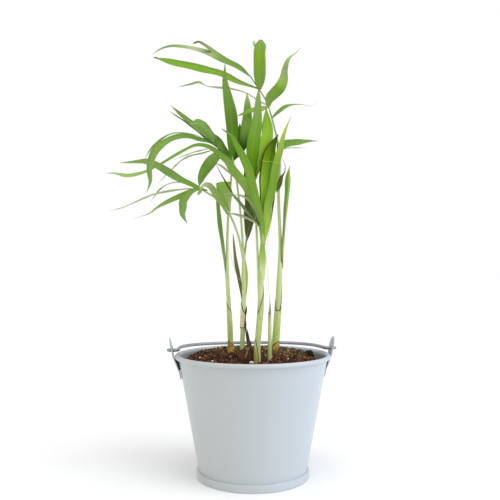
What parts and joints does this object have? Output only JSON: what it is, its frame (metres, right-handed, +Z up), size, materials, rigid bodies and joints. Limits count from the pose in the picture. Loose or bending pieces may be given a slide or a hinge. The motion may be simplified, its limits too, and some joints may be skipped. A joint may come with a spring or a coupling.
{
  "type": "young parlour palm in a tin pail",
  "caption": "Clump of young palm seedlings with narrow leaflets, growing in potting soil in a small painted tin pail with a wire bail.",
  "frame": {"origin": "centre of the pail's foot, on the surface that it stands on", "axes": "+Z up, +X through both ears along the bail's hinge, +Y towards the side where the bail lies at rest"},
  "size_m": [0.1571, 0.1107, 0.3044],
  "materials": {
    "painted_tin": "satin pale blue-white paint on sheet steel",
    "bail_wire": "satin light grey coated wire",
    "soil": "matte crumbly potting mix",
    "leaf_green": "semi-gloss leaf, paler on the underside and on the stalks",
    "dry_sheath": "dry papery leaf sheath"
  },
  "bodies": {
    "pail": {"pail_body": "painted_tin", "pail_base": "painted_tin", "ear_left": "painted_tin", "ear_right": "painted_tin", "potting_soil": "soil", "seedling_left": "leaf_green", "seedling_middle": "leaf_green", "seedling_front": "leaf_green", "seedling_slim": "leaf_green", "seedling_right": "leaf_green", "dry_sheath_left": "dry_sheath", "dry_sheath_middle": "dry_sheath", "dry_sheath_front": "dry_sheath", "dry_sheath_slim": "dry_sheath", "dry_sheath_right": "dry_sheath"},
    "bail": {"bail_handle": "bail_wire"}
  },
  "joints": [
    {"name": "bail_hinge", "type": "hinge", "parent": "pail", "child": "bail", "pos_m": [0, 0, 0.084], "axis": [1, 0, 0], "range_deg": [0, 65]}
  ]
}
